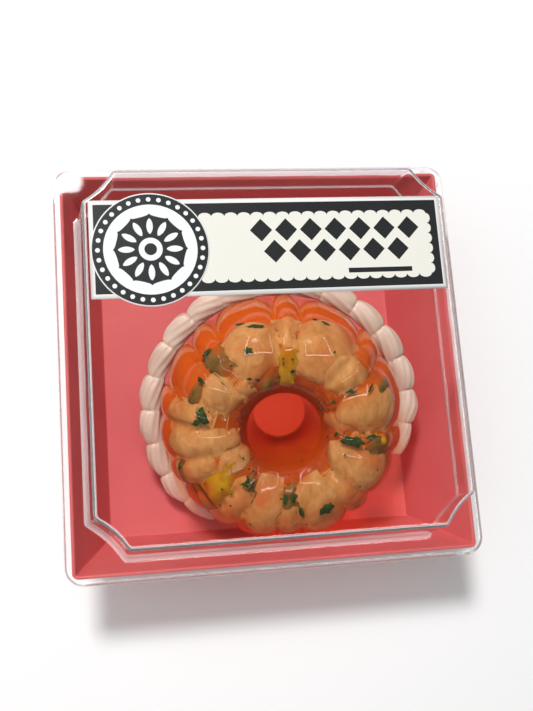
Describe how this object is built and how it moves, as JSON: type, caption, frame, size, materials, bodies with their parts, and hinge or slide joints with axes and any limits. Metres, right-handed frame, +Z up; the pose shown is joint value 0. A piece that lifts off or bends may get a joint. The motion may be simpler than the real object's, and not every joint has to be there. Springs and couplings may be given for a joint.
{
  "type": "boxed novelty jelly ring",
  "caption": "A small fluted amber jelly ring with a piped cream ruffle, leaning in a pink gift box under a clear formed lid with a paper label and a round sticker.",
  "frame": {"origin": "middle of the tray's resting face", "axes": "+X along the label to its plain end, +Y from the jelly's low side up to the label, +Z up through the clear lid"},
  "size_m": [0.0794, 0.0794, 0.0368],
  "materials": {
    "tray_pink": "satin coated card, folded",
    "lid_clear": "clear thin formed plastic sheet",
    "label_print": "printed paper, black band round an off-white field",
    "sticker_print": "printed paper, black ring round an off-white middle",
    "jelly_orange": "glossy translucent amber jelly",
    "icing_cream": "piped icing, soft sheen",
    "morsel_pale": "moist pale morsels sunk in the jelly",
    "herb_green": "chopped green herb sunk in the jelly"
  },
  "bodies": {
    "root": {"tray": "tray_pink", "lid": "lid_clear", "label_strip": "label_print", "round_label": "sticker_print", "jelly_ring": "jelly_orange", "ruffle": "icing_cream"}
  },
  "joints": []
}
